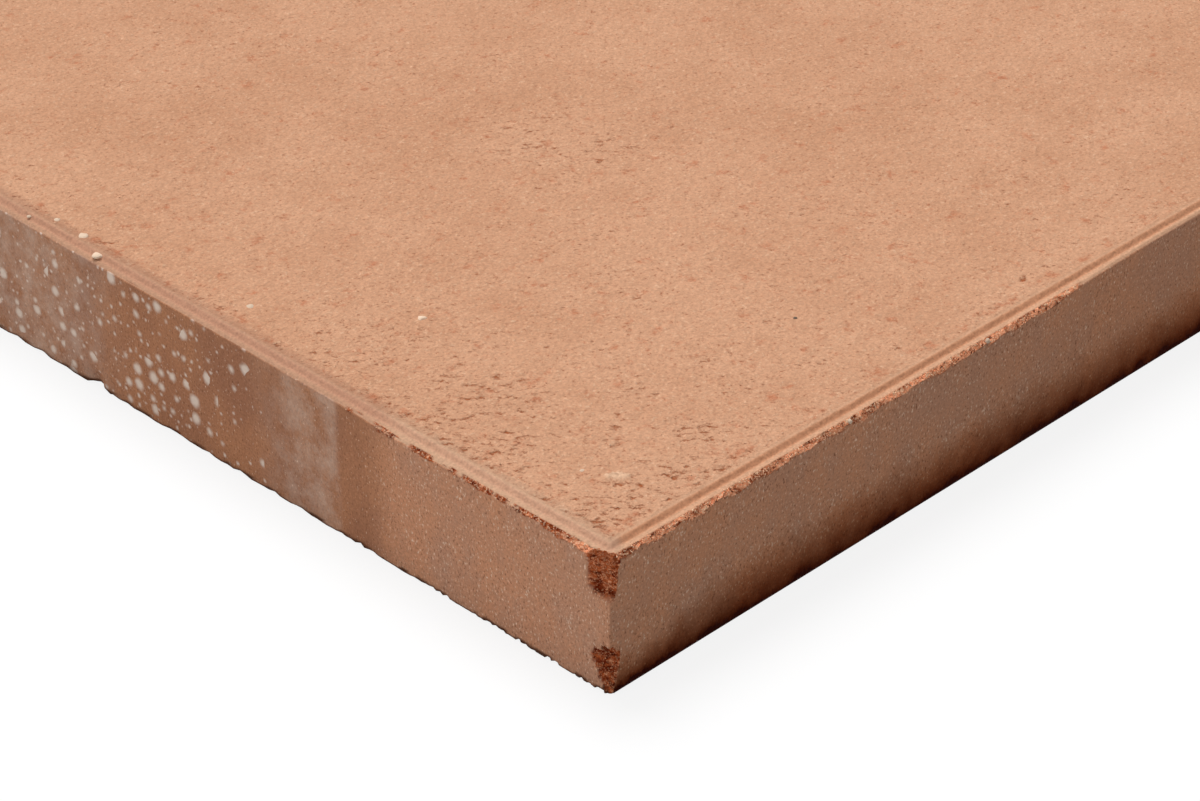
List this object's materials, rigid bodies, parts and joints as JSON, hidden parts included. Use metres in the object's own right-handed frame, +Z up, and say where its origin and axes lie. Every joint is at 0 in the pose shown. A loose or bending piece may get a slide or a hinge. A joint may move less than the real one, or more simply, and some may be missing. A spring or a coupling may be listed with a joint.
{
  "type": "terracotta floor tile",
  "caption": "Thick square floor tile of fired clay with a raised walking field, a sloping step down to a narrow margin, chipped arrises and a flaked corner.",
  "frame": {"origin": "middle of the underside, on the surface that the tile lies on", "axes": "+Z up through the walking face; X and Y along the tile's edges, with the flaked corner at low X and low Y"},
  "size_m": [0.3, 0.3, 0.025],
  "materials": {
    "fired_clay": "matte"
  },
  "bodies": {
    "root": {"tile": "fired_clay"}
  },
  "joints": []
}
